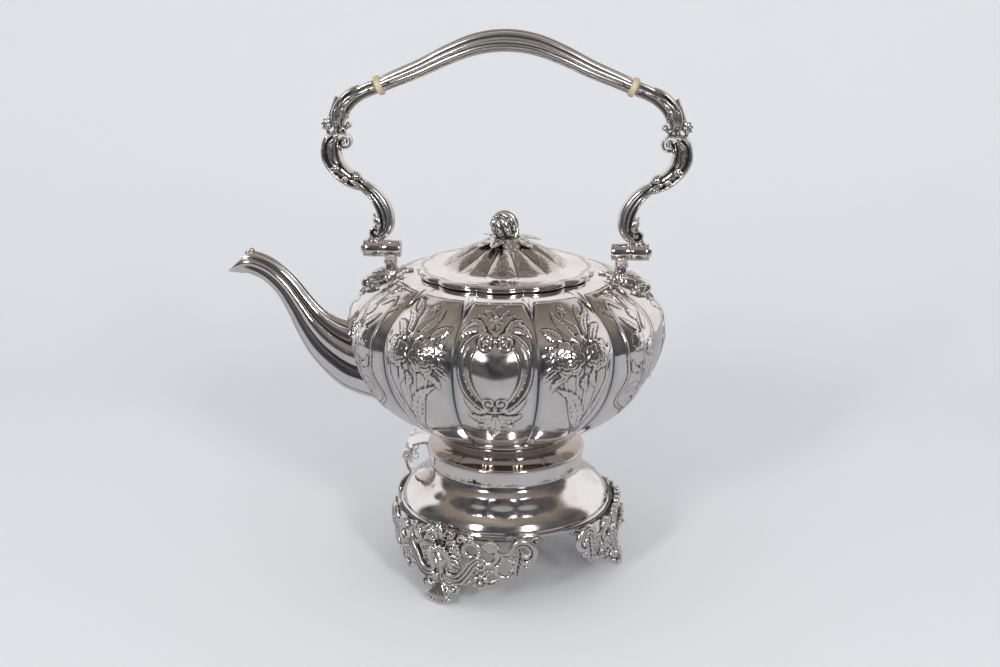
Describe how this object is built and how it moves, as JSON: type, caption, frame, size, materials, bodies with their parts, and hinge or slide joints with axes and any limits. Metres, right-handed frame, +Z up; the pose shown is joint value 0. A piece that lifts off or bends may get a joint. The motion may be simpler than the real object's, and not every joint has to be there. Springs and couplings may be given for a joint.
{
  "type": "kettle on stand",
  "caption": "Melon-lobed silver kettle with a ribbed swan-neck spout, hinged lid and swing handle, hinged to a three-footed openwork stand that holds a spirit lamp.",
  "frame": {"origin": "on the common axis of the kettle and its stand, on the table", "axes": "+Z up, spout towards -X with the tilt hinge, front lobe towards -Y, lid hinge towards +Y, handle swings about X"},
  "size_m": [0.3133, 0.2168, 0.377],
  "materials": {
    "bright_silver": "polished silver plate with light tarnish",
    "cast_silver": "cast and chased silver plate, dark in the hollows",
    "lamp_metal": "plain plated sheet, dull",
    "cotton": "woven cotton wick, charred at its end",
    "ivory": "polished cream insulator, faint yellow grain"
  },
  "bodies": {
    "stand": {"stand_dome": "bright_silver", "stand_base_ring": "bright_silver", "foot_front_left": "cast_silver", "foot_back_left": "cast_silver", "foot_right": "cast_silver", "stand_hinge_leaf": "bright_silver", "lamp_cradle": "bright_silver"},
    "lamp": {"lamp_reservoir": "lamp_metal", "lamp_collar": "lamp_metal", "wick": "cotton"},
    "snuffer": {"snuffer_cap": "bright_silver"},
    "hinge_pin": {"tilt_pin": "bright_silver", "pin_chain": "bright_silver"},
    "kettle": {"kettle_body": "bright_silver", "kettle_bottom": "bright_silver", "kettle_foot": "bright_silver", "spout": "bright_silver", "mouth_collar": "bright_silver", "ear_left": "cast_silver", "ear_right": "cast_silver", "handle_post_left": "bright_silver", "handle_post_right": "bright_silver", "pivot_pin_left": "bright_silver", "pivot_pin_right": "bright_silver", "kettle_hinge_leaf": "bright_silver", "lid_hinge_base": "bright_silver", "lid_hinge_pin": "bright_silver"},
    "lid": {"lid": "bright_silver", "lid_flange": "bright_silver", "lid_hinge_leaf": "bright_silver", "calyx": "cast_silver", "finial": "cast_silver", "finial_nut": "bright_silver"},
    "handle": {"arm_left": "cast_silver", "arm_right": "cast_silver", "handle_knuckle_left": "bright_silver", "handle_knuckle_right": "bright_silver", "insulator_left": "ivory", "insulator_right": "ivory", "spigot_left": "bright_silver", "spigot_right": "bright_silver", "grip": "bright_silver", "handle_rivets": "bright_silver"}
  },
  "joints": [
    {"name": "kettle_tilt", "type": "hinge", "parent": "stand", "child": "kettle", "pos_m": [-0.0675, 0, 0.086], "axis": [0, -1, 0], "range_deg": [0, 55]},
    {"name": "handle_swing", "type": "hinge", "parent": "kettle", "child": "handle", "pos_m": [0, 0, 0.23], "axis": [1, 0, 0], "range_deg": [-88, 88]},
    {"name": "lid_hinge", "type": "hinge", "parent": "kettle", "child": "lid", "pos_m": [0, 0.0646, 0.2196], "axis": [-1, 0, 0], "range_deg": [0, 100]},
    {"name": "pin_pull", "type": "slide", "parent": "stand", "child": "hinge_pin", "axis": [0, 1, 0], "range_m": [0, 0.046]},
    {"name": "lamp_lift", "type": "slide", "parent": "stand", "child": "lamp", "axis": [0, 0, 1], "range_m": [0, 0.016]},
    {"name": "snuffer_lift", "type": "slide", "parent": "lamp", "child": "snuffer", "axis": [0, 0, 1], "range_m": [0, 0.012]}
  ]
}
